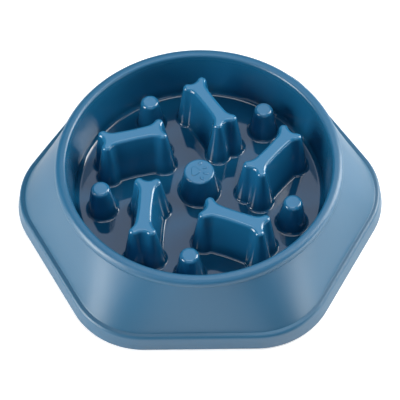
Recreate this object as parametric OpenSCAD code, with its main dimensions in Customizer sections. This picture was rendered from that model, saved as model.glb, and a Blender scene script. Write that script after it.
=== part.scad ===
// Slow feeder bowl: a round dish with bones, pegs and a centre post standing on its floor,
// inside a six-sided hollow skirt that stands on six rubber feet.
// The origin is on the ground under the middle of the bowl, +Z is up, and two corners lie on X.

/* [Base] */
// How far the skirt leans in over a flat side, from the crease at its foot to the rim
skirt_run = 16.4; // [12:0.2:24]
// Radius of the base's rounded corners, at its bottom edge
base_corner_r = 64.3; // [45:1:80]
// Height of the band round the base, from its bottom edge to the crease under the skirt
band_h = 14; // [12:0.5:18]
// How far the band leans in from its bottom edge to its rounded shoulder
band_lean = 2.2; // [1:0.1:3]
// Radius of the band's rounded shoulder
band_shoulder_r = 2.8; // [2.2:0.1:3.5]
// Width of the ledge between the shoulder and the skirt
ledge_w = 1.9; // [1:0.1:4]

/* [Bowl] */
// Height of the bowl standing on its feet
overall_h = 60; // [54:1:72]
// Thickness of the moulded walls
wall_t = 2.5; // [2:0.1:3]
// Radius of the mouth, at the rim's inner edge
mouth_r = 106; // [100:1:108]
// Width of the rim, from its inner edge to the skirt
rim_w = 9.5; // [8:0.5:11]
// Radius of the rim's outer rounding
rim_outer_r = 3.5; // [2.6:0.1:4]
// Radius of the rim's inner rounding
rim_inner_r = 1.2; // [0.8:0.1:1.6]
// Height of the dish's floor above the ground
floor_h = 16.6; // [15:0.2:20]
// How far the dish's wall leans in, from the rim's inner edge to the flat floor
wall_run = 8.6; // [7:0.2:12]
// Radius of the curve between the floor and the wall
floor_fillet_r = 4; // [3:0.5:5]

/* [Bones] */
// Height of a bone above the ground
bone_top_h = 58; // [50:1:59]
// How much shorter a bone's foot is than the way from the post's foot to the wall's foot
bone_slack = 8.3; // [6:0.1:14]
// Width of a bone's flat top across its knuckles
bone_w = 15.6; // [14:0.2:18]
// Width of a bone's flat top at its waist
bone_waist_w = 6.2; // [5:0.2:8]
// Radius of a knuckle on the flat top
knuckle_r = 1; // [0.8:0.1:2]
// Depth of the notch between the two knuckles of an end
bone_notch_d = 2.4; // [2:0.1:3]
// Radius of the curve between a knuckle and the shaft
bone_neck_r = 13; // [12:0.5:15]
// Radius of the long hollow of the shaft's sides
bone_side_r = 200; // [150:10:300]
// How much wider a bone's foot is than its flat top, all round
bone_grow = 11.1; // [9:0.1:12]
// Distance of a bone's middle outside the middle of that way
bone_shift = 1.65; // [0:0.05:3]
// Turn of a bone from the radius that it stands on
bone_turn = 40.8; // [36:1:44]
// Radius of the rounding along the top edge of a bone
bone_round_r = 2.8; // [1.6:0.1:3.4]
// Direction of the first bone, from +X
bone_first_a = 9.2; // [7:0.1:11]

/* [Pegs and post] */
// Height of a peg above the ground
peg_top_h = 45.3; // [36:0.5:50]
// Radius of a peg's flat top
peg_top_r = 4.8; // [4:0.1:6]
// How much wider a peg's foot is than its flat top, all round
peg_grow = 9.4; // [8:0.1:10]
// Gap between a peg's foot and the wall's foot
peg_wall_gap = 2.6; // [2:0.1:5]
// Radius of the rounding along the top edge of a peg
peg_round_r = 3; // [1.6:0.1:3.4]
// Direction of the first peg, from +X
peg_first_a = 48.3; // [46:0.1:50]
// Height of the centre post above the ground
post_top_h = 42.8; // [34:0.5:50]
// Radius of the centre post's flat top
post_top_r = 11; // [10:0.1:14]
// How much wider the centre post's foot is than its flat top, all round
post_grow = 7.7; // [6.5:0.1:9]
// Radius of the rounding along the top edge of the centre post
post_round_r = 1.6; // [1:0.1:2]
// Height of the paw print on the centre post's top
paw_h = 0.4; // [0.3:0.1:0.8]
// Radius of the curve between every obstacle and the floor
foot_fillet_r = 2.4; // [1.6:0.1:3]

/* [Rubber feet] */
// Radius of a rubber foot
foot_r = 5; // [4:0.1:5.4]
// Thickness of a rubber foot
foot_t = 3; // [2.4:0.1:4]
// How far a rubber foot stands out below the moulding
foot_proud = 1; // [0.6:0.1:1.4]
// Wall round a rubber foot's pocket
boss_wall_t = 1.8; // [1.4:0.1:2.2]
// Gap between a boss and the inside of the band
boss_gap = 0.6; // [0.4:0.1:2]
// Gap between a rubber foot and the side of its pocket
pocket_gap = 0.1; // [0.05:0.05:0.2]

/* [Hidden] */
bone_count = 5;
peg_count = 5;
corner_count = 6;
plastic = [0.20, 0.43, 0.60];
rubber = [0.13, 0.14, 0.15];
// Segments of a whole round, of a rounding, and of the six-sided shapes
$fn = 144;
arc_n = 4;
skirt_n = 120;
// Overrun of a cut past the face that it opens
cut = 1;
corner_a = 360 / corner_count;
flat_a = corner_a / 2;
edge_z = foot_proud;
rim_r = mouth_r + rim_w;
floor_r = mouth_r - wall_run;
crease_z = edge_z + band_h;
under_z = crease_z - wall_t;
crease_in = band_lean + band_shoulder_r + ledge_w;
crease_apothem = rim_r + skirt_run;
crease_corner_r = base_corner_r - crease_in;
base_apothem = crease_apothem + crease_in;
rim_base_z = overall_h - rim_outer_r - rim_inner_r;
rim_edge_z = overall_h - rim_inner_r;
floor_bottom_z = floor_h - wall_t;
bone_h = bone_top_h - floor_h;
peg_h = peg_top_h - floor_h;
post_h = post_top_h - floor_h;
post_foot_r = post_top_r + post_grow;
bone_l = floor_r - post_foot_r - 2 * bone_grow - bone_slack;
bone_place_r = (floor_r + post_foot_r) / 2 + bone_shift;
peg_place_r = floor_r - peg_wall_gap - peg_top_r - peg_grow;
knuckle_x = bone_l / 2 - knuckle_r;
knuckle_y = bone_w / 2 - knuckle_r;
waist_y = bone_waist_w / 2;
// Least radius that a hollow corner of a bone keeps as the bone widens
hollow_min_r = foot_fillet_r / 2;
// Paw print as shares of the post's top radius: lobes of the pad as [along, across, radius],
// the pad's middle, and the distance, radius and length of the toes
paw_lobe_shares = [[-0.13, 0, 0.2], [-0.38, 0.25, 0.17], [-0.38, -0.25, 0.17]];
paw_middle_share = -0.28;
toe_place_share = 0.79;
toe_r_share = 0.11;
toe_stretch_share = 1.6;
toe_angles = [64, 25, -14, -53];
pocket_r = foot_r + pocket_gap;
boss_r = pocket_r + boss_wall_t;
foot_place_r = corner_reach(base_apothem - wall_t - band_lean, base_corner_r - wall_t - band_lean)
    - boss_r - boss_gap;
pocket_d = foot_t - foot_proud;
// Inside of the band as [distance in from the bottom edge, height], up to the foot of the skirt
band_inside = [
    [wall_t, edge_z],
    [band_lean + wall_t, under_z - band_shoulder_r],
    [band_lean + wall_t + band_shoulder_r, under_z],
    [crease_in + wall_t, under_z],
    [crease_in + wall_t, crease_z]
];
// Points of an arc about c, from angle a to angle b
function arc(c, r, a, b, n) =
    [for (i = [0 : n]) let (t = a + (b - a) * i / n) c + r * [cos(t), sin(t)]];
// Distance from the axis to a rounded corner of a six-sided outline
function corner_reach(apothem, r) = (apothem - r) / cos(flat_a) + r;
// Angle to a corner's or a flat's middle, folded into half a side
function folded(a) = abs((a + flat_a) % corner_a - flat_a);
// Distance from the axis to a six-sided outline with rounded corners, in direction a
function six_sided(a, apothem, r) =
    let (
        c = (apothem - r) / cos(flat_a),
        end_a = atan2(r * sin(flat_a), c + r * cos(flat_a)),
        f = folded(a)
    )
    f < end_a ? c * cos(f) + sqrt(r * r - pow(c * sin(f), 2)) : apothem / cos(flat_a - f);
// Point of a six-sided outline drawn in by a distance from the base's bottom edge
function base_point(a, in, z) =
    let (r = six_sided(a, base_apothem - in, base_corner_r - in))
    [r * cos(a), r * sin(a), z];
// Point of the skirt, from the crease at share 0 to the rim at share 1, drawn in by a distance
function skirt_point(a, s, in) =
    let (r = (1 - s) * six_sided(a, crease_apothem - in, crease_corner_r - in) + s * (rim_r - in))
    [r * cos(a), r * sin(a), crease_z + s * (rim_base_z - crease_z)];
// Lean of the dish's wall from upright, between the floor's curve and the rim's inner edge
function wall_lean() =
    let (
        rise = rim_edge_z - floor_h - floor_fillet_r,
        run = mouth_r - floor_r
    )
    atan2(run, rise) - asin(floor_fillet_r / norm([run, rise]));
// Radius of the dish's wall at height z
function wall_r(z) = mouth_r - (rim_edge_z - z) * tan(wall_lean());
// Radius of the floor plate, which reaches under the foot of the wall's outer side
function plate_r() = floor_r + sqrt(pow(floor_fillet_r + wall_t, 2) - pow(floor_fillet_r, 2));
// Angle from upright of an obstacle's side, between its top rounding and its foot curve
function side_a(h, grow, round_r) =
    let (
        rise = h - round_r - foot_fillet_r,
        slant = norm([grow, rise])
    )
    atan2(grow, rise) - asin((round_r + foot_fillet_r) / slant);
// Outer side of an obstacle as [distance outside its flat top, height], from foot to top
function side_points(h, grow, round_r) =
    let (a = side_a(h, grow, round_r))
    concat(
        arc([grow, foot_fillet_r], foot_fillet_r, 270, 180 + a, arc_n),
        arc([0, h - round_r], round_r, a, 90, arc_n)
    );
// Distance outside the flat top of the hollow's side, at height z
function hollow_out(h, grow, round_r, z) =
    let (a = side_a(h, grow, round_r))
    round_r * cos(a) + (h - round_r + round_r * sin(a) - z) * tan(a) - wall_t / cos(a);
// One quarter of a bone's outline, widened by out: notch, knuckle, neck and half the shaft's side
function bone_quarter(out) =
    let (
        knuckle = [knuckle_x, knuckle_y],
        kr = knuckle_r + out,
        notch_x = bone_l / 2 - bone_notch_d,
        // The notch's circle touches both knuckles and passes through the notch's bottom
        lead = notch_x - knuckle_x,
        flat_notch_r = (pow(lead, 2) + pow(knuckle_y, 2) - pow(knuckle_r, 2)) / (2 * (knuckle_r - lead)),
        nr = max(flat_notch_r - out, hollow_min_r),
        notch_a = asin(knuckle_y / (nr + kr)),
        notch = [knuckle_x + (nr + kr) * cos(notch_a), 0],
        // The neck's circle touches the knuckle outside and the shaft's hollow side inside
        side = [0, waist_y + bone_side_r],
        sr = bone_side_r - out,
        fr = max(bone_neck_r - out, hollow_min_r),
        gap = norm(side - knuckle),
        u = (side - knuckle) / gap,
        along = (pow(kr + fr, 2) - pow(sr - fr, 2) + pow(gap, 2)) / (2 * gap),
        across = sqrt(pow(kr + fr, 2) - pow(along, 2)),
        neck = knuckle + along * u + across * [-u[1], u[0]],
        to_neck = neck - knuckle,
        to_side = neck - side,
        neck_a = atan2(to_neck[1], to_neck[0]),
        side_end_a = atan2(to_side[1], to_side[0])
    )
    concat(
        arc(notch, nr, 180, 180 - notch_a, arc_n),
        without_first(arc(knuckle, kr, -notch_a, neck_a, 2 * arc_n)),
        without_first(arc(neck, fr, neck_a - 180, side_end_a, arc_n)),
        without_first(arc(side, sr, side_end_a, -90, arc_n / 2))
    );
function reversed(list) = [for (i = [len(list) - 1 : -1 : 0]) list[i]];
function without_ends(list) = [for (i = [1 : len(list) - 2]) list[i]];
function without_first(list) = [for (i = [1 : len(list) - 1]) list[i]];
// A bone's whole outline, turned round from its four quarters
function bone_outline(out) =
    let (
        q = bone_quarter(out),
        up = [for (p = reversed(q)) [-p[0], p[1]]],
        left = [for (p = q) [-p[0], -p[1]]],
        down = [for (p = reversed(q)) [p[0], -p[1]]]
    )
    concat(q, without_first(up), without_first(left), without_ends(down));
function at_height(outline, z) = [for (p = outline) [p[0], p[1], z]];
// Sides between rings of points that all run the same way, with a cap at both ends
module loft(rings) {
    n = len(rings[0]);
    m = len(rings);
    sides = [for (j = [0 : m - 2], i = [0 : n - 1], half = [0, 1])
        let (a = j * n + i, b = j * n + (i + 1) % n)
        half == 0 ? [a, a + n, b + n] : [a, b + n, b]];
    first = [for (i = [0 : n - 1]) i];
    last = [for (i = [n - 1 : -1 : 0]) (m - 1) * n + i];
    polyhedron([for (r = rings) each r], concat([last], [first], sides));
}
// Sides between rings that close on each other, such as the outlines of a hollow band
module closed_loft(rings) {
    n = len(rings[0]);
    m = len(rings);
    sides = [for (j = [0 : m - 1], i = [0 : n - 1], half = [0, 1])
        let (
            next = (i + 1) % n,
            k = (j + 1) % m,
            a = j * n + i,
            b = j * n + next,
            c = k * n + i,
            d = k * n + next
        )
        half == 0 ? [a, c, d] : [a, d, b]];
    polyhedron([for (r = rings) each r], sides);
}
// Flat top and sloping side of a round obstacle, hollow from below
module round_obstacle(top_r, h, grow, round_r) {
    side = side_points(h, grow, round_r);
    rotate_extrude()
        polygon(concat(
            [for (p = side) [top_r + p[0], p[1]]],
            [
                [0, h],
                [0, h - wall_t],
                [top_r + hollow_out(h, grow, round_r, h - wall_t), h - wall_t],
                [top_r + hollow_out(h, grow, round_r, 0), 0]
            ]
        ));
}
module at_bone(i) {
    rotate(bone_first_a + i * 360 / bone_count)
        translate([bone_place_r, 0, 0])
            rotate(bone_turn)
                children();
}
module at_peg(i) {
    rotate(peg_first_a + i * 360 / peg_count)
        translate([peg_place_r, 0, 0])
            children();
}
module at_foot(i) {
    rotate(i * corner_a)
        translate([foot_place_r, 0, 0])
            children();
}
// Rounded ring that tops the dish's wall and the skirt, hollow from below
module rim() {
    color(plastic)
        rotate_extrude()
            difference() {
                polygon(concat(
                    [[wall_r(rim_base_z), rim_base_z], [rim_r, rim_base_z]],
                    arc([rim_r - rim_outer_r, overall_h - rim_outer_r], rim_outer_r, 0, 90, 2 * arc_n),
                    arc([mouth_r + rim_inner_r, rim_edge_z], rim_inner_r, 90, 180, arc_n)
                ));
                polygon([
                    [wall_r(rim_base_z - cut) + wall_t, rim_base_z - cut],
                    [rim_r - wall_t, rim_base_z - cut],
                    [rim_r - wall_t, overall_h - rim_outer_r],
                    [rim_r - rim_outer_r, overall_h - wall_t],
                    [wall_r(overall_h - wall_t) + wall_t, overall_h - wall_t]
                ]);
            }
}
// Wall of the dish, from the floor's edge up to the rim
module inner_wall() {
    lean = wall_lean();
    curve_c = [floor_r, floor_h + floor_fillet_r];
    back_r = floor_fillet_r + wall_t;
    color(plastic)
        rotate_extrude()
            polygon(concat(
                arc(curve_c, floor_fillet_r, -90, -lean, 2 * arc_n),
                [[wall_r(rim_base_z), rim_base_z], [wall_r(rim_base_z) + wall_t, rim_base_z]],
                arc(curve_c, back_r, -lean, -asin(floor_fillet_r / back_r), arc_n)
            ));
}
// Floor of the dish, open below every hollow obstacle
module floor_plate() {
    color(plastic)
        translate([0, 0, floor_bottom_z])
            linear_extrude(wall_t)
                difference() {
                    circle(plate_r());
                    circle(post_top_r + hollow_out(post_h, post_grow, post_round_r, 0));
                    for (i = [0 : bone_count - 1])
                        at_bone(i)
                            polygon(bone_outline(hollow_out(bone_h, bone_grow, bone_round_r, 0)));
                    for (i = [0 : peg_count - 1])
                        at_peg(i)
                            circle(peg_top_r + hollow_out(peg_h, peg_grow, peg_round_r, 0));
                }
}
// Sloping cover between the rim and the base's band
module skirt() {
    color(plastic)
        closed_loft([
            for (p = [[0, 0], [1, 0], [1, wall_t], [0, wall_t]])
                [for (i = [0 : skirt_n - 1]) skirt_point(i * 360 / skirt_n, p[0], p[1])]
        ]);
}
// Band round the base, with a rounded shoulder and the ledge that the skirt stands on
module base_band() {
    shoulder = [band_lean + band_shoulder_r, crease_z - band_shoulder_r];
    section = concat(
        [[0, edge_z]],
        arc(shoulder, band_shoulder_r, 180, 90, 2 * arc_n),
        reversed(band_inside)
    );
    color(plastic)
        closed_loft([
            for (p = section)
                [for (i = [0 : skirt_n - 1]) base_point(i * 360 / skirt_n, p[0], p[1])]
        ]);
}
// Outline of a paw print: a pad of three lobes, and the toes round it
module paw_print() {
    hull()
        for (lobe = paw_lobe_shares)
            translate(post_top_r * [lobe[0], lobe[1]])
                circle(post_top_r * lobe[2]);
    translate([post_top_r * paw_middle_share, 0])
        for (a = toe_angles)
            rotate(a)
                translate([post_top_r * toe_place_share, 0])
                    scale([toe_stretch_share, 1])
                        circle(post_top_r * toe_r_share);
}
// Round post in the middle of the dish, with a plain paw print in low relief on its top
module centre_post() {
    color(plastic)
        translate([0, 0, floor_h])
            union() {
                round_obstacle(post_top_r, post_h, post_grow, post_round_r);
                translate([0, 0, post_h - wall_t / 2])
                    linear_extrude(wall_t / 2 + paw_h)
                        paw_print();
            }
}
// Bone-shaped obstacle, hollow from below
module bone(i) {
    color(plastic)
        at_bone(i)
            translate([0, 0, floor_h])
                loft(concat(
                    [for (z = [bone_h - wall_t, 0])
                        at_height(bone_outline(hollow_out(bone_h, bone_grow, bone_round_r, z)), z)],
                    [for (p = side_points(bone_h, bone_grow, bone_round_r))
                        at_height(bone_outline(p[0]), p[1])]
                ));
}
// Round peg, hollow from below
module peg(i) {
    color(plastic)
        at_peg(i)
            translate([0, 0, floor_h])
                round_obstacle(peg_top_r, peg_h, peg_grow, peg_round_r);
}
// Slice of the hollow inside the band and the skirt, round the first corner
module corner_hollow() {
    turns = [for (a = [-flat_a / 2 : 360 / skirt_n : flat_a / 2]) a];
    below = [wall_t, edge_z - cut];
    loft(concat(
        [for (p = concat([below], band_inside))
            concat([[0, 0, p[1]]], [for (a = turns) base_point(a, p[0], p[1])])],
        [concat([[0, 0, rim_base_z]], [for (a = turns) skirt_point(a, 1, wall_t)])]
    ));
}
// Boss that hangs from the skirt at a corner, with the pocket that holds a rubber foot
module foot_boss(i) {
    color(plastic)
        difference() {
            intersection() {
                at_foot(i)
                    translate([0, 0, edge_z])
                        cylinder(r = boss_r, h = rim_base_z - edge_z);
                rotate(i * corner_a)
                    corner_hollow();
            }
            at_foot(i)
                translate([0, 0, edge_z - cut])
                    cylinder(r = pocket_r, h = pocket_d + cut);
        }
}
// Rubber foot pressed into a boss
module rubber_foot(i) {
    color(rubber)
        at_foot(i)
            cylinder(r = foot_r, h = foot_t);
}
rim();
inner_wall();
floor_plate();  // floor
skirt();
base_band();
centre_post();
for (i = [1 : bone_count])
    bone(i - 1);
for (i = [1 : peg_count])
    peg(i - 1);
for (i = [1 : corner_count])
    foot_boss(i - 1);
for (i = [1 : corner_count])
    rubber_foot(i - 1);
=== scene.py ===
import math

import bmesh
import bpy
from mathutils import Matrix, Vector


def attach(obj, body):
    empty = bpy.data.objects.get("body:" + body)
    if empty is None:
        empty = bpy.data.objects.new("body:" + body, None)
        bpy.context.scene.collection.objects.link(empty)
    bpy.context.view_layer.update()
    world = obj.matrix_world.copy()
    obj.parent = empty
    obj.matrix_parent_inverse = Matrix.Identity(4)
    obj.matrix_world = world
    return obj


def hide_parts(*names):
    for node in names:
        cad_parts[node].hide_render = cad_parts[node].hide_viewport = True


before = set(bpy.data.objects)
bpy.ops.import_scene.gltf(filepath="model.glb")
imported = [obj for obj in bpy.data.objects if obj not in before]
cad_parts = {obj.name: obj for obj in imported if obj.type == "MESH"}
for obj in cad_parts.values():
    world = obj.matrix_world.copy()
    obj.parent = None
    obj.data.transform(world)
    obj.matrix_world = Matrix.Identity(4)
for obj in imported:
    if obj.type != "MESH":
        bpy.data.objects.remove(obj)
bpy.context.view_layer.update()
print("frame:", len(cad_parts), "nodes")

# All lengths are in metres. The bowl stands on z = 0 with its axis on Z and two corners on X.
bowl = {
    "top": 0.060,              # height of the rim
    "mouthRadius": 0.106,      # rim's inner edge
    "mouthDrop": 0.0012,       # how far below the top the wall reaches that radius
    "rimRadius": 0.1155,       # rim's outer edge
    "rimInnerRound": 0.0024,   # rounding of the rim's edges, as seen from above
    "rimOuterRound": 0.0050,
    "rimInnerUnder": 0.0008,   # and of the hollow under them
    "rimOuterUnder": 0.0012,
    "rimSeam": 0.0537,         # height at which the rim ends and the skirt begins
    "lipIn": 0.0007,           # how far the rim's side leans in below its edge
    "wall": 0.0025,            # thickness of the moulding
    "floorTop": 0.0166,
    "floorRadius": 0.0974,     # where the floor begins to curve up
    "floorCurve": 0.004,
    "seamFlat": 0.0005,        # flat margin on each side of a seam in the floor
}

around = 288  # segments of the round pieces
rounding = {"step": 0.00025, "fewest": 4, "most": 14}  # segments of a rounded edge
joinDistance = 1e-7  # points nearer than this become one
sharpTurn = math.radians(35)  # faces that turn more than this meet in a sharp edge


def outlineOf(bm, corners):
    # draws a closed outline through corners, each (x, z, rounding radius), and rounds them
    verts = [bm.verts.new((x, 0, z)) for x, z, _ in corners]
    count = len(verts)
    for i in range(count):
        bm.edges.new((verts[i], verts[(i + 1) % count]))
    for i, vert in enumerate(verts):
        radius = corners[i][2]
        if not radius:
            continue
        back = Vector(corners[i - 1][:2]) - Vector(corners[i][:2])
        ahead = Vector(corners[(i + 1) % count][:2]) - Vector(corners[i][:2])
        bend = math.pi - back.angle(ahead)
        bmesh.ops.bevel(bm, geom=[vert], affect="VERTICES", offset_type="OFFSET",
                        offset=radius * math.tan(bend / 2), segments=roundSteps(radius),
                        profile=0.5, material=-1, clamp_overlap=False)


def roundSteps(radius):
    return max(rounding["fewest"], min(rounding["most"], int(radius / rounding["step"])))


def turned(bm, corners, steps=around):
    # an outline spun round Z
    outlineOf(bm, corners)
    bmesh.ops.spin(bm, geom=bm.verts[:] + bm.edges[:], cent=(0, 0, 0), axis=(0, 0, 1),
                   angle=math.tau, steps=steps, use_merge=True)
    bmesh.ops.remove_doubles(bm, verts=bm.verts, dist=joinDistance)
    axis = [edge for edge in bm.edges if not edge.link_faces]
    bmesh.ops.delete(bm, geom=axis, context="EDGES")


def loft(bm, rings, join=False):
    # rings of points of one length: the first is drawn, the others are extruded from it
    place = bm.verts.layers.int.get("place") or bm.verts.layers.int.new("place")
    verts = [bm.verts.new(point) for point in rings[0]]
    for i, vert in enumerate(verts):
        vert[place] = i
    first = edges = [bm.edges.new((verts[i - 1], verts[i])) for i in range(len(verts))]
    for ring in rings[1:]:
        grown = bmesh.ops.extrude_edge_only(bm, edges=edges)["geom"]
        edges = [e for e in grown if isinstance(e, bmesh.types.BMEdge) and e.is_boundary]
        for vert in grown:
            if isinstance(vert, bmesh.types.BMVert):
                vert.co = ring[vert[place]]
    if join:
        bmesh.ops.bridge_loops(bm, edges=first + edges)
    else:
        for loop in (first, edges):
            bmesh.ops.edgeloop_fill(bm, edges=loop)


def finished(bm, name, material):
    bmesh.ops.recalc_face_normals(bm, faces=bm.faces)
    for face in bm.faces:
        face.smooth = True
    for edge in bm.edges:
        edge.smooth = len(edge.link_faces) == 2 and edge.calc_face_angle() < sharpTurn
    mesh = bpy.data.meshes.new(name)
    bm.to_mesh(mesh)
    bm.free()
    mesh.materials.append(material)
    piece = bpy.data.objects.new(name, mesh)
    bpy.context.scene.collection.objects.link(piece)
    return piece


def fitted(bm, name, material, node):
    piece = finished(bm, name, material)
    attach(piece, "root")
    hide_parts(node)


class Wire:
    def __init__(self, finish, socket):
        self.finish = finish
        self.socket = socket

    def __add__(self, other):
        return self.finish.maths("ADD", self, other)

    def __radd__(self, other):
        return self.finish.maths("ADD", other, self)

    def __sub__(self, other):
        return self.finish.maths("SUBTRACT", self, other)

    def __rsub__(self, other):
        return self.finish.maths("SUBTRACT", other, self)

    def __mul__(self, other):
        return self.finish.maths("MULTIPLY", self, other)

    def __rmul__(self, other):
        return self.finish.maths("MULTIPLY", other, self)


class Finish:
    def __init__(self, name):
        self.material = bpy.data.materials.new(name)
        self.material.use_nodes = True
        self.tree = self.material.node_tree
        self.tree.nodes.clear()

    def node(self, kind, settings=None, inputs=None, output=0):
        # settings come first, then a value or a wire for each input
        made = self.tree.nodes.new("ShaderNode" + kind)
        for key, value in (settings or {}).items():
            setattr(made, key, value)
        for key, value in (inputs or {}).items():
            if isinstance(value, Wire):
                self.tree.links.new(value.socket, made.inputs[key])
            else:
                made.inputs[key].default_value = value
        return Wire(self, made.outputs[output]) if made.outputs else None

    def maths(self, operation, *values):
        return self.node("Math", {"operation": operation}, dict(enumerate(values)))

    def noise(self, at, scale, detail):
        return self.node("TexNoise", None, {"Vector": at, "Scale": scale, "Detail": detail})

    def bump(self, height, distance, strength=1, under=None):
        # small relief, on top of another one where that is given
        inputs = {"Strength": strength, "Distance": distance, "Height": height}
        if under:
            inputs["Normal"] = under
        return self.node("Bump", None, inputs)

    def colourMix(self, share, first, second):
        return self.node("Mix", {"data_type": "RGBA"}, {0: share, 6: first, 7: second}, output=2)

    def part(self, wire, name):
        # another output of the node that a wire comes from
        return Wire(self, wire.socket.node.outputs[name])

    def eased(self, value, low, high):
        # 0 to 1 as a value goes from low to high, with soft ends
        return self.node("MapRange", {"interpolation_type": "SMOOTHSTEP"},
                         {"Value": value, "From Min": low, "From Max": high})

    def done(self, shader):
        self.node("OutputMaterial", None, {"Surface": shader})
        return self.material


plastic = {
    # painted light and shade: one plastic in lit and shaded copies; the first colour and the rim's
    # are lit copies for faces that look up, the dish's and the shell's are shaded copies for the
    # rest, and the floor's is a painted shadow
    "colour": (0.022, 0.175, 0.345, 1), "cloudColour": (0.020, 0.165, 0.330, 1),
    "dishShadedColour": (0.010, 0.122, 0.262, 1), "floorShadowColour": (0.005, 0.078, 0.172, 1),
    "shellShadedColour": (0.0065, 0.104, 0.208, 1), "rimLitColour": (0.015, 0.130, 0.262, 1),
    # painted light: faces that look up take the lit colour between these heights
    "lowZ": 0.018, "highZ": 0.040,
    # and as the upward part of their normal goes from the one to the other
    "steep": 0.30, "level": 0.95,
    # painted shadow: the floor is darker in colour than what stands on it, between these heights
    "floorZ": 0.017, "sideZ": 0.030,
    # glossy inside the first, satin outside the second
    "innerRadius": 0.1030, "outerRadius": 0.1080,
    "gloss": 0.06, "sideGloss": 0.13, "satin": 0.41, "spread": 0.04, "specular": 0.85,
    # scale and detail of the noise in the colour and in the gloss
    "clouds": (16, 3), "patches": (55, 4),
    "grainSize": 0.0006, "grainDepth": 0.000003, "waveSize": 0.014, "waveDepth": 0.00001,
}


def plasticFinish():
    finish = Finish("moulded_plastic")
    at = finish.node("TexCoord", output=3)
    x = finish.node("SeparateXYZ", None, {0: at})
    y, z = finish.part(x, "Y"), finish.part(x, "Z")
    normal = finish.node("NewGeometry", output=1)
    up = finish.part(finish.node("SeparateXYZ", None, {0: normal}), "Z")
    # painted light: faces that look up and stand above the floor take the lit copy of the colour
    lit = (finish.eased(z, plastic["lowZ"], plastic["highZ"])
           * finish.eased(up, plastic["steep"], plastic["level"]))
    radius = finish.maths("SQRT", x * x + y * y)
    outside = finish.eased(radius, plastic["innerRadius"], plastic["outerRadius"])
    # painted shadow: the floor takes a darker colour than the sides above it; the same height mask
    # makes the floor glossier
    raised = finish.eased(z, plastic["floorZ"], plastic["sideZ"])
    dishShade = finish.colourMix(raised, plastic["floorShadowColour"], plastic["dishShadedColour"])
    # painted shade: every face but those that look up takes a darker shaded copy, the dish's
    # inside and the shell's outside
    shadedColour = finish.colourMix(outside, dishShade, plastic["shellShadedColour"])
    clouds = finish.noise(at, *plastic["clouds"])
    litColour = finish.colourMix(clouds, plastic["cloudColour"], plastic["colour"])
    litColour = finish.colourMix(outside, litColour, plastic["rimLitColour"])
    gloss = plastic["gloss"] + raised * (plastic["sideGloss"] - plastic["gloss"])
    patches = (finish.noise(at, *plastic["patches"]) - 0.5) * plastic["spread"]
    wave = finish.bump(finish.noise(at, 1 / plastic["waveSize"], 1), plastic["waveDepth"])
    grain = finish.noise(at, 1 / plastic["grainSize"], 1)
    shader = finish.node("BsdfPrincipled", None, {
        "Base Color": finish.colourMix(lit, shadedColour, litColour),
        "Roughness": gloss + outside * (plastic["satin"] - gloss) + patches,
        "Specular IOR Level": plastic["specular"],
        "Normal": finish.bump(grain, plastic["grainDepth"], under=wave),
    })
    return finish.done(shader)


mouldedPlastic = plasticFinish()

rubber = {
    "colour": (0.018, 0.018, 0.02, 1), "paleColour": (0.03, 0.03, 0.032, 1),
    "roughness": 0.7, "spread": 0.2, "grainDepth": 0.00005, "grainStrength": 0.6,
    # scale and detail of the noise in the colour, in the roughness and in the grain
    "mottle": (300, 4), "patches": (400, 3), "grain": (1500, 2),
}


def rubberFinish():
    finish = Finish("foot_rubber")
    at = finish.node("TexCoord", output=3)
    mottle = finish.noise(at, *rubber["mottle"])
    patches = finish.noise(at, *rubber["patches"])
    grain = finish.noise(at, *rubber["grain"])
    shader = finish.node("BsdfPrincipled", None, {
        "Base Color": finish.colourMix(mottle, rubber["colour"], rubber["paleColour"]),
        "Roughness": rubber["roughness"] + patches * rubber["spread"],
        "Normal": finish.bump(grain, rubber["grainDepth"], rubber["grainStrength"]),
    })
    return finish.done(shader)


footRubber = rubberFinish()
print("finishes made")


def wallLean():
    # the wall leans out from the floor's curve to the rim's inner edge
    rise = bowl["top"] - bowl["mouthDrop"] - bowl["floorTop"] - bowl["floorCurve"]
    run = bowl["mouthRadius"] - bowl["floorRadius"]
    return math.atan2(run, rise) - math.asin(bowl["floorCurve"] / math.hypot(run, rise))


def wallRadius(z):
    mouthZ = bowl["top"] - bowl["mouthDrop"]
    return bowl["mouthRadius"] - (mouthZ - z) * math.tan(wallLean())


def floorCorner(thickness=0):
    # radius at which the wall's straight side would meet the floor's top, or its underside
    return wallRadius(bowl["floorTop"] - thickness) + thickness / math.cos(wallLean())


bm = bmesh.new()
wall, top, seam = bowl["wall"], bowl["top"], bowl["rimSeam"]
lipRadius = bowl["rimRadius"] - bowl["lipIn"]
turned(bm, [
    (lipRadius, seam, 0),
    (bowl["rimRadius"], top, bowl["rimOuterRound"]),
    (wallRadius(top), top, bowl["rimInnerRound"]),
    (wallRadius(seam), seam, 0),
    (wallRadius(seam) + wall, seam, 0),
    (wallRadius(top - wall) + wall, top - wall, bowl["rimInnerUnder"]),
    (bowl["rimRadius"] - wall, top - wall, bowl["rimOuterUnder"]),
    (lipRadius - wall, seam, 0),
])
fitted(bm, "rim_moulded", mouldedPlastic, "rim")

bm = bmesh.new()
floorTop, floorUnder = bowl["floorTop"], bowl["floorTop"] - wall
plateRadius = bowl["floorRadius"] - bowl["seamFlat"]
turned(bm, [
    (plateRadius, floorTop, 0),
    (floorCorner(), floorTop, bowl["floorCurve"]),
    (wallRadius(seam), seam, 0),
    (wallRadius(seam) + wall, seam, 0),
    (floorCorner(wall), floorUnder, bowl["floorCurve"] + wall),
    (plateRadius, floorUnder, 0),
])
fitted(bm, "inner_wall_moulded", mouldedPlastic, "inner_wall")
print("rim and wall made")

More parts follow.
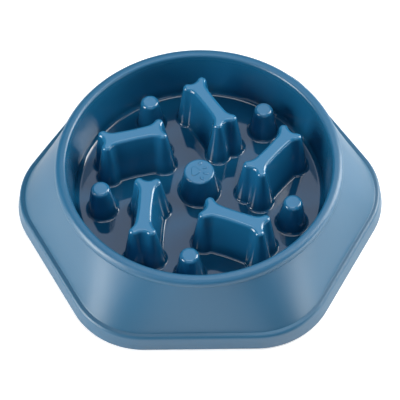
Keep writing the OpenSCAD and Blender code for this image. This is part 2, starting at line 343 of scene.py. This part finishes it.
# Each obstacle is given by the outline of its flat top; its foot lies outside that by grow.
bones = {
    "count": 5, "top": 0.058, "topRound": 0.0028, "length": 0.0482, "width": 0.0156,
    "waist": 0.0062, "knuckle": 0.0010, "notch": 0.0024, "neck": 0.0130, "side": 0.2,
    "grow": 0.0111, "placeRadius": 0.0597, "turn": 40.8, "first": 9.2,
    "steps": (6, 18, 8, 6),  # of notch, knuckle, neck and side in a quarter of the outline
}
pegs = {"count": 5, "top": 0.0453, "topRound": 0.0030, "radius": 0.0048, "grow": 0.0094,
        "placeRadius": 0.0806, "first": 48.3, "segments": 72}
post = {"top": 0.0428, "topRound": 0.0018, "radius": 0.0107, "grow": 0.0080, "segments": 96}
paw = {
    "size": 0.011, "steps": 72,
    "pad": ((-0.13, 0, 0.2), (-0.38, 0.25, 0.17), (-0.38, -0.25, 0.17)),
    "middle": -0.28, "reach": 0.79, "toeAngles": (64, 25, -14, -53),
    "toe": (0.18, 0.115), "toeTip": 0.75,  # a toe's tips are this share of its width
    # distance outside the outline and height over the post's top, from the root of the relief up
    "profile": ((0.0003, -0.0006), (0.0003, -0.00002), (0.00018, 0.00002), (0.00008, 0.00012),
                (0, 0.00024), (-0.00008, 0.00034), (-0.00022, 0.00039), (-0.0004, 0.0004)),
}
obstacle = {
    "footCurve": 0.0024, "steps": 9, "hollowRound": 0.001, "hollowSteps": 4,
    "topInset": 0.0003,        # a bone's flat top starts this far inside its rounding
}


def sideAngle(height, grow, r):
    # how far a side leans from upright, between its foot's curve and its top's rounding
    rise = height - r - obstacle["footCurve"]
    return math.atan2(grow, rise) - math.asin((r + obstacle["footCurve"]) / math.hypot(grow, rise))


def hollowOut(height, grow, r, z):
    # distance outside the flat top at which the hollow's side is at height z
    angle = sideAngle(height, grow, r)
    return (r * math.cos(angle) + (height - r + r * math.sin(angle) - z) * math.tan(angle)
            - wall / math.cos(angle))


def sideSteps(height, grow, r):
    # an obstacle's side from its foot to its top, as (distance outside its flat top, height)
    angle, steps, foot = sideAngle(height, grow, r), obstacle["steps"], obstacle["footCurve"]
    made = [(grow + bowl["seamFlat"], 0.0)]
    for i in range(steps + 1):
        a = math.radians(270) + (angle - math.radians(90)) * i / steps
        made.append((grow + foot * math.cos(a), foot + foot * math.sin(a)))
    for i in range(steps + 1):
        a = angle + (math.radians(90) - angle) * i / steps
        made.append((r * math.cos(a), height - r + r * math.sin(a)))
    return made


def arc(centre, radius, start, end, steps):
    return [centre + radius * Vector((math.cos(start + (end - start) * i / steps),
                                      math.sin(start + (end - start) * i / steps)))
            for i in range(steps + 1)]


def boneOutline(out):
    # notch, knuckle, neck and side of one quarter, widened by out, then mirrored twice
    least = obstacle["footCurve"] / 2
    knuckle = Vector((bones["length"] / 2 - bones["knuckle"],
                      bones["width"] / 2 - bones["knuckle"]))
    knuckleRound = bones["knuckle"] + out
    lead = bones["length"] / 2 - bones["notch"] - knuckle.x
    notchRound = ((lead ** 2 + knuckle.y ** 2 - bones["knuckle"] ** 2)
                  / (2 * (bones["knuckle"] - lead)))
    notchRound = max(notchRound - out, least)
    notchAngle = math.asin(knuckle.y / (notchRound + knuckleRound))
    notch = Vector((knuckle.x + (notchRound + knuckleRound) * math.cos(notchAngle), 0))
    side = Vector((0, bones["waist"] / 2 + bones["side"]))
    sideRound, neckRound = bones["side"] - out, max(bones["neck"] - out, least)
    way = side - knuckle
    gap = way.length
    way = way / gap
    reach = knuckleRound + neckRound
    along = (reach ** 2 - (sideRound - neckRound) ** 2 + gap ** 2) / (2 * gap)
    across = math.sqrt(reach ** 2 - along ** 2)
    neck = knuckle + along * way + across * Vector((-way.y, way.x))
    neckAngle = math.atan2(neck.y - knuckle.y, neck.x - knuckle.x)
    meetAngle = math.atan2(neck.y - side.y, neck.x - side.x)
    steps = bones["steps"]
    quarter = arc(notch, notchRound, math.pi, math.pi - notchAngle, steps[0])
    quarter += arc(knuckle, knuckleRound, -notchAngle, neckAngle, steps[1])[1:]
    quarter += arc(neck, neckRound, neckAngle - math.pi, meetAngle, steps[2])[1:]
    quarter += arc(side, sideRound, meetAngle, -math.pi / 2, steps[3])[1:]
    whole = quarter + [Vector((-p.x, p.y)) for p in reversed(quarter)][1:]
    return whole + [Vector((-p.x, -p.y)) for p in whole[1:-1]]


def boneRings():
    # from the hollow's ceiling down to the foot, and up the side to the flat top
    height, top = bones["top"] - floorTop, bones["topRound"]
    ceiling, r = height - wall, obstacle["hollowRound"]
    rings = []
    for i in range(obstacle["hollowSteps"] + 1):
        a = math.radians(90) * (1 - i / obstacle["hollowSteps"])
        z = ceiling - r + r * math.sin(a)
        rings.append((hollowOut(height, bones["grow"], top, z) - r + r * math.cos(a), z))
    rings.append((hollowOut(height, bones["grow"], top, -wall), -wall))
    rings.append((bones["grow"] + bowl["seamFlat"], -wall))
    rings += sideSteps(height, bones["grow"], top)
    rings.append((-obstacle["topInset"], height))
    return [[(p.x, p.y, z) for p in boneOutline(out)] for out, z in rings]


def bonePlace(i):
    return Matrix.Rotation(math.radians(bones["first"] + i * 360 / bones["count"]), 4, "Z") \
        @ Matrix.Translation((bones["placeRadius"], 0, floorTop)) \
        @ Matrix.Rotation(math.radians(bones["turn"]), 4, "Z")


def pegPlace(i):
    return Matrix.Rotation(math.radians(pegs["first"] + i * 360 / pegs["count"]), 4, "Z") \
        @ Matrix.Translation((pegs["placeRadius"], 0, floorTop))


for i in range(bones["count"]):
    bm = bmesh.new()
    loft(bm, boneRings())
    bmesh.ops.transform(bm, matrix=bonePlace(i), verts=bm.verts)
    fitted(bm, f"bone_moulded_{i + 1}", mouldedPlastic, f"bone_{i + 1}")
print("bones made")


def roundCorners(values):
    # outline of a round obstacle from the middle of its top, down its side and up its hollow
    height, r = values["top"] - floorTop, values["topRound"]
    radius, grow = values["radius"], values["grow"]
    angle = sideAngle(height, grow, r)
    edge = radius + r * math.cos(angle) - (r - r * math.sin(angle)) * math.tan(angle)
    foot = edge + height * math.tan(angle)
    margin = radius + grow + bowl["seamFlat"]
    ceiling = height - wall
    return [
        (0, height, 0),
        (edge, height, r),
        (foot, 0, obstacle["footCurve"]),
        (margin, 0, 0),
        (margin, -wall, 0),
        (radius + hollowOut(height, grow, r, -wall), -wall, 0),
        (radius + hollowOut(height, grow, r, ceiling), ceiling, obstacle["hollowRound"]),
        (0, ceiling, 0),
    ]


for i in range(pegs["count"]):
    bm = bmesh.new()
    turned(bm, roundCorners(pegs), pegs["segments"])
    bmesh.ops.transform(bm, matrix=pegPlace(i), verts=bm.verts)
    fitted(bm, f"peg_moulded_{i + 1}", mouldedPlastic, f"peg_{i + 1}")


def hullOutline(circles, out):
    # outline of the shape that wraps circles given as (x, y, radius), widened by out
    points = []
    for i in range(paw["steps"]):
        a = math.tau * i / paw["steps"]
        way = Vector((math.cos(a), math.sin(a)))
        x, y, radius = max(circles, key=lambda c: c[0] * way.x + c[1] * way.y + c[2])
        points.append(Vector((x, y)) + (radius + out) * way)
    return points


def pawShapes():
    # pad and toes, each as circles to wrap
    size = paw["size"]
    shapes = [[(x * size, y * size, r * size) for x, y, r in paw["pad"]]]
    long, wide = paw["toe"]
    tip = wide * paw["toeTip"]
    for degrees in paw["toeAngles"]:
        a = math.radians(degrees)
        way = Vector((math.cos(a), math.sin(a)))
        middle = Vector((paw["middle"], 0)) + paw["reach"] * way
        shapes.append([
            ((middle.x + along * way.x) * size, (middle.y + along * way.y) * size, r * size)
            for along, r in ((0, wide), (long - tip, tip), (tip - long, tip))])
    return shapes


bm = bmesh.new()
turned(bm, roundCorners(post), post["segments"])
bmesh.ops.translate(bm, vec=(0, 0, floorTop), verts=bm.verts)
for circles in pawShapes():
    loft(bm, [[(p.x, p.y, post["top"] + rise) for p in hullOutline(circles, out)]
              for out, rise in paw["profile"]])
fitted(bm, "centre_post_moulded", mouldedPlastic, "centre_post")
print("pegs and post made")

ejectors = {
    "radius": 0.003, "proud": 0.00015, "depth": 0.0008, "segments": 40,
    "rings": ((0.030, 5, 48.3), (0.092, 10, 21.0)),  # radius, marks, degrees to the first
}

# the floor is a plate with a hole at the foot of every obstacle
bm = bmesh.new()
bmesh.ops.create_circle(bm, cap_ends=False, radius=plateRadius, segments=around)
footRing = boneOutline(bones["grow"] + bowl["seamFlat"])
for i in range(bones["count"]):
    verts = [bm.verts.new(bonePlace(i) @ Vector((p.x, p.y, -floorTop))) for p in footRing]
    for j in range(len(verts)):
        bm.edges.new((verts[j - 1], verts[j]))
for i in range(pegs["count"]):
    bmesh.ops.create_circle(
        bm, cap_ends=False, radius=pegs["radius"] + pegs["grow"] + bowl["seamFlat"],
        segments=pegs["segments"], matrix=pegPlace(i) @ Matrix.Translation((0, 0, -floorTop)))
bmesh.ops.create_circle(
    bm, cap_ends=False, radius=post["radius"] + post["grow"] + bowl["seamFlat"],
    segments=post["segments"])
for vert in bm.verts:
    vert.co.z = floorTop
bmesh.ops.triangle_fill(bm, use_beauty=True, edges=bm.edges)
grown = bmesh.ops.extrude_face_region(bm, geom=bm.faces[:])["geom"]
under = [vert for vert in grown if isinstance(vert, bmesh.types.BMVert)]
bmesh.ops.translate(bm, vec=(0, 0, -wall), verts=under)
# round marks of the mould's ejector pins stand a little proud underneath
markZ = floorTop - wall + ejectors["depth"] / 2 - ejectors["proud"]
for ringRadius, count, first in ejectors["rings"]:
    for i in range(count):
        mark = Matrix.Rotation(math.radians(first + i * 360 / count), 4, "Z") \
            @ Matrix.Translation((ringRadius, 0, markZ))
        bmesh.ops.create_cone(bm, cap_ends=True, segments=ejectors["segments"],
                              radius1=ejectors["radius"], radius2=ejectors["radius"],
                              depth=ejectors["depth"], matrix=mark)
fitted(bm, "floor_moulded", mouldedPlastic, "floor")
print("floor made")

base = {
    "flats": 0.2776, "cornerRadius": 0.0643, "bottom": 0.001, "bandHeight": 0.014,
    "lean": 0.0022, "shoulder": 0.0028, "ledge": 0.0019, "creaseRound": 0.0004,
    "bottomRound": 0.0005, "bottomCut": 0.3,
    "bandIn": 0.00004,         # keeps the widest line of the band inside the solid
    "backIn": 0.0026,          # how far the back of the base is drawn in
    "backFrom": 0.1,           # where that begins, as a share of the way back
    "backSpan": 0.75,          # and how much further back it is in full
    "sides": 360, "skirtSteps": 16, "shoulderSteps": 10, "creaseSteps": (0.35, 0.7),
}
creaseZ = base["bottom"] + base["bandHeight"]  # the crease between the ledge and the skirt
creaseIn = base["lean"] + base["shoulder"] + base["ledge"]
creaseApothem = base["flats"] / 2 - creaseIn
creaseCorner = base["cornerRadius"] - creaseIn


def sixSided(angle, apothem, radius):
    # distance from the axis to a six-sided outline with round corners
    centre = (apothem - radius) / math.cos(math.pi / 6)
    endAngle = math.atan2(radius * 0.5, centre + radius * math.cos(math.pi / 6))
    fold = abs((angle + math.pi / 6) % (math.pi / 3) - math.pi / 6)
    back = max(0, min(1, (math.sin(angle) - base["backFrom"]) / base["backSpan"]))
    drawn = base["backIn"] * back * back * (3 - 2 * back)
    if fold < endAngle:
        reach = math.sqrt(radius ** 2 - (centre * math.sin(fold)) ** 2)
        return centre * math.cos(fold) + reach - drawn
    return apothem / math.cos(math.pi / 6 - fold) - drawn


def basePoint(angle, inward, z):
    r = sixSided(angle, base["flats"] / 2 - inward, base["cornerRadius"] - inward)
    return Vector((r * math.cos(angle), r * math.sin(angle), z))


def skirtPoint(angle, share, inward):
    # share goes from 0 at the crease over the base to 1 at the rim
    low = sixSided(angle, creaseApothem - inward, creaseCorner - inward)
    r = (1 - share) * low + share * (lipRadius - inward)
    return Vector((r * math.cos(angle), r * math.sin(angle), creaseZ + share * (seam - creaseZ)))


angles = [math.tau * i / base["sides"] for i in range(base["sides"])]
startShare = base["creaseRound"] / (seam - creaseZ)

bm = bmesh.new()
steps = base["skirtSteps"]
levels = [(startShare + (1 - startShare) * i / steps, 0) for i in range(steps + 1)]
levels += [(1 - (1 - startShare) * i / steps, wall) for i in range(steps + 1)]
loft(bm, [[skirtPoint(a, share, inward) for a in angles] for share, inward in levels], join=True)
fitted(bm, "skirt_moulded", mouldedPlastic, "skirt")

bm = bmesh.new()
edge, steps = base["bottomRound"], base["shoulderSteps"]
bandSide = [(edge, base["bottom"]),
            (edge * base["bottomCut"], base["bottom"] + edge * base["bottomCut"]),
            (base["bandIn"], base["bottom"] + edge)]
for i in range(steps + 1):
    a = math.radians(90) * i / steps
    bandSide.append((base["lean"] + base["shoulder"] * (1 - math.cos(a)),
                     creaseZ - base["shoulder"] * (1 - math.sin(a))))
ledgeIn = creaseIn - base["creaseRound"]
bandSide.append((ledgeIn, creaseZ))
rings = [[basePoint(a, inward, z) for a in angles] for inward, z in bandSide]
for t in base["creaseSteps"]:
    rings.append([basePoint(a, ledgeIn, creaseZ) * (1 - t) ** 2
                  + basePoint(a, creaseIn, creaseZ) * (2 * t * (1 - t))
                  + skirtPoint(a, startShare, 0) * t ** 2 for a in angles])
rings.append([skirtPoint(a, startShare, 0) for a in angles])
rings.append([skirtPoint(a, startShare, wall) for a in angles])
innerLean = base["lean"] + wall
inside = [(creaseIn + wall, creaseZ - wall), (innerLean + base["shoulder"], creaseZ - wall),
          (innerLean, creaseZ - wall - base["shoulder"]), (wall, base["bottom"])]
rings += [[basePoint(a, inward, z) for a in angles] for inward, z in inside]
loft(bm, rings, join=True)
fitted(bm, "base_band_moulded", mouldedPlastic, "base_band")
print("skirt and band made")

feet = {
    "count": 6, "radius": 0.005, "thickness": 0.003, "placeRadius": 0.13813, "segments": 64,
    "lowEdge": 0.0005, "topEdge": 0.0002,
    "dimple": (0.0026, 0.0028, 0.0004, 0.0001),  # top and mouth radius, depth, rounding
    "pocketGap": 0.0001, "bossWall": 0.0018, "bossEdge": 0.0003,
    "bossShares": (1, 0.8, 0.6, 0.4, 0.2),  # rings that fit a boss's top to the skirt
}
pocket = feet["radius"] + feet["pocketGap"]
bossRadius = pocket + feet["bossWall"]


def bossTop(x, y, corner):
    # height at which a boss ends, inside the thickness of the skirt or the band's top
    angle, r = corner + math.atan2(y, x), math.hypot(x, y)
    low = sixSided(angle, creaseApothem, creaseCorner) - wall / 2
    high = lipRadius - wall / 2
    if r > low:
        return creaseZ - wall / 2 - max(0, r - low - wall)
    return creaseZ + (low - r) / (low - high) * (seam - creaseZ)


def bossRings(corner):
    bottom, edge = base["bottom"], feet["bossEdge"]
    levels = [(pocket, feet["thickness"]), (pocket, bottom),
              (bossRadius - edge, bottom), (bossRadius, bottom + edge)]
    levels += [(bossRadius * share, None) for share in feet["bossShares"]]
    rings = []
    for radius, z in levels:
        ring = []
        for k in range(feet["segments"]):
            a = math.tau * k / feet["segments"]
            x, y = feet["placeRadius"] + radius * math.cos(a), radius * math.sin(a)
            ring.append((x, y, bossTop(x, y, corner) if z is None else z))
        rings.append(ring)
    return rings


def footCorners():
    dimpleTop, dimpleMouth, depth, edge = feet["dimple"]
    return [
        (0, depth, 0),
        (dimpleTop, depth, edge),
        (dimpleMouth, 0, edge),
        (feet["radius"], 0, feet["lowEdge"]),
        (feet["radius"], feet["thickness"], feet["topEdge"]),
        (0, feet["thickness"], 0),
    ]


for i in range(feet["count"]):
    corner = math.tau * i / feet["count"]
    bm = bmesh.new()
    loft(bm, bossRings(corner))
    bmesh.ops.rotate(bm, cent=(0, 0, 0), matrix=Matrix.Rotation(corner, 3, "Z"), verts=bm.verts)
    fitted(bm, f"foot_boss_moulded_{i + 1}", mouldedPlastic, f"foot_boss_{i + 1}")
    bm = bmesh.new()
    turned(bm, footCorners(), feet["segments"])
    place = Matrix.Rotation(corner, 4, "Z") @ Matrix.Translation((feet["placeRadius"], 0, 0))
    bmesh.ops.transform(bm, matrix=place, verts=bm.verts)
    fitted(bm, f"rubber_foot_pressed_{i + 1}", footRubber, f"rubber_foot_{i + 1}")
print("bosses and feet made")

studio = {
    "distance": 1.3, "aimZ": 0.03,
    "warm": (1.0, 0.98, 0.94), "plain": (1.0, 1.0, 1.0), "cool": (0.85, 0.96, 1.16),
    # each lamp: degrees round from the front, degrees above the floor, width, height, watts, tint
    "lamps": {
        "left_box": (289, 24, 0.52, 0.80, 14.4, "warm"),
        "left_low_box": (296, 4, 0.60, 0.25, 3.0, "warm"),
        "right_box": (113, 26, 0.60, 0.95, 17.0, "warm"),
        "right_low_box": (70, 4, 0.80, 0.25, 5.0, "warm"),
        "right_high_box": (114, 56, 0.60, 0.40, 3.0, "warm"),
        "rear_box": (180, 56, 0.80, 0.55, 1.5, "cool"),
        "top_box": (180, 81, 0.60, 0.45, 2.5, "plain"),
        "front_low_box": (0, 4, 1.20, 0.25, 1.1, "cool"),
        "front_box": (0, 57, 1.20, 0.55, 2.3, "cool"),
    },
    "ground": (0.9, 0.9, 0.9, 1), "groundGlow": 0.45, "groundSize": 6,
}


def groundFinish():
    # the ground glows only as the camera, a reflection or glass sees it
    finish = Finish("ground_white")
    rays = finish.node("LightPath")
    seen = finish.part(rays, "Is Camera Ray")
    for ray in ("Is Glossy Ray", "Is Transmission Ray"):
        seen = finish.maths("MAXIMUM", seen, finish.part(rays, ray))
    diffuse = finish.node("BsdfDiffuse", None, {"Color": studio["ground"]})
    glow = finish.node("Emission", None, {"Strength": seen * studio["groundGlow"]})
    return finish.done(finish.node("AddShader", None, {0: diffuse, 1: glow}))


bm = bmesh.new()
bmesh.ops.create_grid(bm, x_segments=1, y_segments=1, size=studio["groundSize"])
ground = finished(bm, "ground", groundFinish())

world = bpy.data.worlds.new("studio")
world.use_nodes = True
world.node_tree.nodes["Background"].inputs["Strength"].default_value = 0
bpy.context.scene.world = world

for name, (azimuth, elevation, width, height, watts, tint) in studio["lamps"].items():
    light = bpy.data.lights.new(name, "AREA")
    light.shape = "RECTANGLE"
    light.size, light.size_y = width, height
    light.energy = watts
    light.color = studio[tint]
    lamp = bpy.data.objects.new(name, light)
    bearing, rise = math.radians(azimuth), math.radians(elevation)
    way = Vector((math.sin(bearing) * math.cos(rise), -math.cos(bearing) * math.cos(rise),
                  math.sin(rise)))
    lamp.location = way * studio["distance"] + Vector((0, 0, studio["aimZ"]))
    lamp.rotation_euler = way.to_track_quat("Z", "Y").to_euler()
    lamp.visible_camera = False
    bpy.context.scene.collection.objects.link(lamp)

view = {
    "distance": 1.1212, "elevation": 56.10, "yaw": 0.92, "roll": -1.474,
    "focal": 1352.5, "across": 400,  # focal length and picture width in pixels
    "sensor": 36, "target": (0.00007, 0.00024, 0), "lift": 0.001,
}
tilt, roll = math.radians(view["elevation"]), math.radians(view["roll"])
eye = Vector((0, -view["distance"] * math.cos(tilt), view["distance"] * math.sin(tilt)))
forward = (Vector(view["target"]) - eye).normalized()
right = forward.cross(Vector((0, 0, 1))).normalized()
up = right.cross(forward)
c, s = math.cos(roll), math.sin(roll)
right, up = c * right + s * up, c * up - s * right
yaw = Matrix.Rotation(math.radians(view["yaw"]), 4, "Z")
cameraData = bpy.data.cameras.new("camera")
cameraData.sensor_width = view["sensor"]
cameraData.lens = view["sensor"] * view["focal"] / view["across"]
camera = bpy.data.objects.new("camera", cameraData)
axes = Matrix((right, up, -forward)).transposed().to_4x4()
place = Matrix.Translation((0, 0, view["lift"])) @ yaw @ Matrix.Translation(eye)
camera.matrix_world = place @ axes
bpy.context.scene.collection.objects.link(camera)
bpy.context.scene.camera = camera
bpy.context.scene.view_settings.view_transform = "Standard"
print("studio made")
